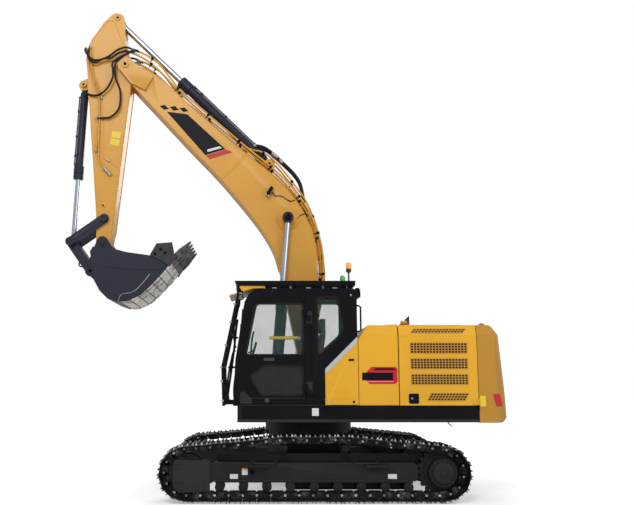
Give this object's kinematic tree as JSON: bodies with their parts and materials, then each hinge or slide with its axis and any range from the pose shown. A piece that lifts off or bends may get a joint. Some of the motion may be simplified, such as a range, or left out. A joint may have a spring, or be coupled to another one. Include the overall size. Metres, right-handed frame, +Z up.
{
  "type": "crawler excavator",
  "caption": "Crawler excavator with a hollow cab, a slewing upper body, a gooseneck boom, an arm and a toothed digging bucket worked by hydraulic cylinders.",
  "frame": {"origin": "middle of the footprint of the whole machine's bounding box, at ground level under the tracks; the slewing axis is at x = 0.457 m, y = 0", "axes": "-X is ahead of the machine, -Y is its left side, where the cab is, +Z is up"},
  "size_m": [7.0148, 2.98, 7.9671],
  "materials": {
    "house_yellow": "glossy ochre yellow paint",
    "boom_yellow": "satin ochre yellow paint, a little browner",
    "black_paint": "satin blue-black paint",
    "navy_paint": "satin dark navy grey paint",
    "chrome_rod": "hard chromed, polished",
    "track_steel": "dark painted steel, lugs worn bright",
    "wear_steel": "bare wear-resistant steel",
    "tinted_glass": "lightly tinted safety glass",
    "engine_iron": "cast iron, matt",
    "cab_trim": "dark grey fabric seat and moulded consoles",
    "rail_steel": "black painted tube"
  },
  "bodies": {
    "undercarriage": {"carbody": "black_paint", "track_frame_left": "black_paint", "track_frame_right": "black_paint", "track_left": "track_steel", "track_right": "track_steel", "sprocket_left": "black_paint", "sprocket_right": "black_paint"},
    "upper": {"deck": "black_paint", "counterweight": "house_yellow", "engine_block": "engine_iron", "house_frame": "house_yellow", "side_panel": "house_yellow", "fuel_tank": "house_yellow", "hydraulic_tank": "house_yellow", "toolbox": "house_yellow", "exhaust_pipe": "engine_iron", "cab_shell": "black_paint", "windscreen": "tinted_glass", "glass_quarter": "tinted_glass", "glass_right": "tinted_glass", "glass_rear": "tinted_glass", "operator_station": "cab_trim", "cab_guard": "black_paint", "handrail": "rail_steel"},
    "cab_door": {"cab_door": "black_paint", "door_glass_upper": "tinted_glass", "door_glass_lower": "tinted_glass"},
    "front_door": {"front_door": "house_yellow"},
    "radiator_door": {"radiator_door": "house_yellow"},
    "pump_door": {"pump_door": "house_yellow"},
    "bonnet": {"bonnet": "house_yellow"},
    "boom": {"boom": "boom_yellow"},
    "boom_barrels": {"boom_barrel_left": "navy_paint", "boom_barrel_right": "navy_paint"},
    "boom_rods": {"boom_rod_left": "chrome_rod", "boom_rod_right": "chrome_rod"},
    "arm": {"arm": "boom_yellow"},
    "arm_barrel": {"arm_barrel": "navy_paint"},
    "arm_rod": {"arm_rod": "chrome_rod"},
    "bucket_barrel": {"bucket_barrel": "navy_paint"},
    "bucket_rod": {"bucket_rod": "chrome_rod"},
    "rocker": {"rocker": "navy_paint"},
    "bucket_link": {"bucket_link": "navy_paint"},
    "bucket": {"bucket": "navy_paint", "cutting_edge": "wear_steel"}
  },
  "joints": [
    {"name": "swing", "type": "hinge", "parent": "undercarriage", "child": "upper", "pos_m": [0.4574, 0, 1.098], "axis": [0, 0, 1], "continuous": true},
    {"name": "cab_door_hinge", "type": "hinge", "parent": "upper", "child": "cab_door", "pos_m": [0.3654, -1.385, 1.372], "axis": [0, 0, 1], "range_deg": [0, 175]},
    {"name": "front_door_hinge", "type": "hinge", "parent": "upper", "child": "front_door", "pos_m": [0.6364, -1.375, 1.353], "axis": [0, 0, 1], "range_deg": [-100, 0]},
    {"name": "radiator_door_hinge", "type": "hinge", "parent": "upper", "child": "radiator_door", "pos_m": [2.8254, -1.375, 1.353], "axis": [0, 0, -1], "range_deg": [-100, 0]},
    {"name": "pump_door_hinge", "type": "hinge", "parent": "upper", "child": "pump_door", "pos_m": [2.8254, 1.375, 1.353], "axis": [0, 0, 1], "range_deg": [-100, 0]},
    {"name": "bonnet_hinge", "type": "hinge", "parent": "upper", "child": "bonnet", "pos_m": [1.7634, 0, 2.53], "axis": [0, 1, 0], "range_deg": [-70, 0]},
    {"name": "boom_hinge", "type": "hinge", "parent": "upper", "child": "boom", "pos_m": [0.4574, 0, 1.9], "axis": [0, 1, 0], "range_deg": [-97, 6.9]},
    {"name": "boom_barrel_pivot", "type": "hinge", "parent": "upper", "child": "boom_barrels", "pos_m": [-0.0976, 0, 1.45], "axis": [0, 1, 0], "range_deg": [-96.06, 7.76]},
    {"name": "boom_rod_slide", "type": "slide", "parent": "boom_barrels", "child": "boom_rods", "axis": [0.0813, 0, 0.9967], "range_m": [-1.0963, 0.0826]},
    {"name": "arm_hinge", "type": "hinge", "parent": "boom", "child": "arm", "pos_m": [-2.5927, 0, 7.0064], "axis": [0, -1, 0], "range_deg": [-106, 6]},
    {"name": "arm_barrel_pivot", "type": "hinge", "parent": "boom", "child": "arm_barrel", "pos_m": [-0.1628, 0, 5.3096], "axis": [0, -1, 0], "range_deg": [-7.89, 1.39]},
    {"name": "arm_rod_slide", "type": "slide", "parent": "arm_barrel", "child": "arm_rod", "axis": [-0.7108, 0, 0.7033], "range_m": [-1.4096, 0.0845]},
    {"name": "bucket_hinge", "type": "hinge", "parent": "arm", "child": "bucket", "pos_m": [-2.8978, 0, 3.9657], "axis": [0, -1, 0], "range_deg": [-115, 16]},
    {"name": "bucket_barrel_pivot", "type": "hinge", "parent": "arm", "child": "bucket_barrel", "pos_m": [-3.3131, 0, 6.6978], "axis": [0, -1, 0], "range_deg": [-2.15, 1.16]},
    {"name": "bucket_rod_slide", "type": "slide", "parent": "bucket_barrel", "child": "bucket_rod", "axis": [-0.0419, 0, -0.9991], "range_m": [-0.9634, 0.1383]},
    {"name": "rocker_pivot", "type": "hinge", "parent": "arm", "child": "rocker", "pos_m": [-2.8843, 0, 4.3603], "axis": [0, -1, 0], "range_deg": [-94.15, 13.96]},
    {"name": "link_pivot", "type": "hinge", "parent": "rocker", "child": "bucket_link", "pos_m": [-3.4275, 0, 3.9732], "axis": [0, -1, 0], "range_deg": [-8.36, 53.9]}
  ],
  "couplings": [
    {"joint": "boom_barrel_pivot", "follows": "boom_hinge", "ratio": 0.98},
    {"joint": "boom_rod_slide", "follows": "boom_hinge", "m_per_rad": 0.6446},
    {"joint": "arm_barrel_pivot", "follows": "arm_hinge", "ratio": 0.065},
    {"joint": "arm_rod_slide", "follows": "arm_hinge", "m_per_rad": 0.7592},
    {"joint": "bucket_barrel_pivot", "follows": "bucket_hinge", "ratio": 0.01},
    {"joint": "bucket_rod_slide", "follows": "bucket_hinge", "m_per_rad": 0.4775},
    {"joint": "rocker_pivot", "follows": "bucket_hinge", "ratio": 0.81},
    {"joint": "link_pivot", "follows": "bucket_hinge", "ratio": -0.46}
  ]
}
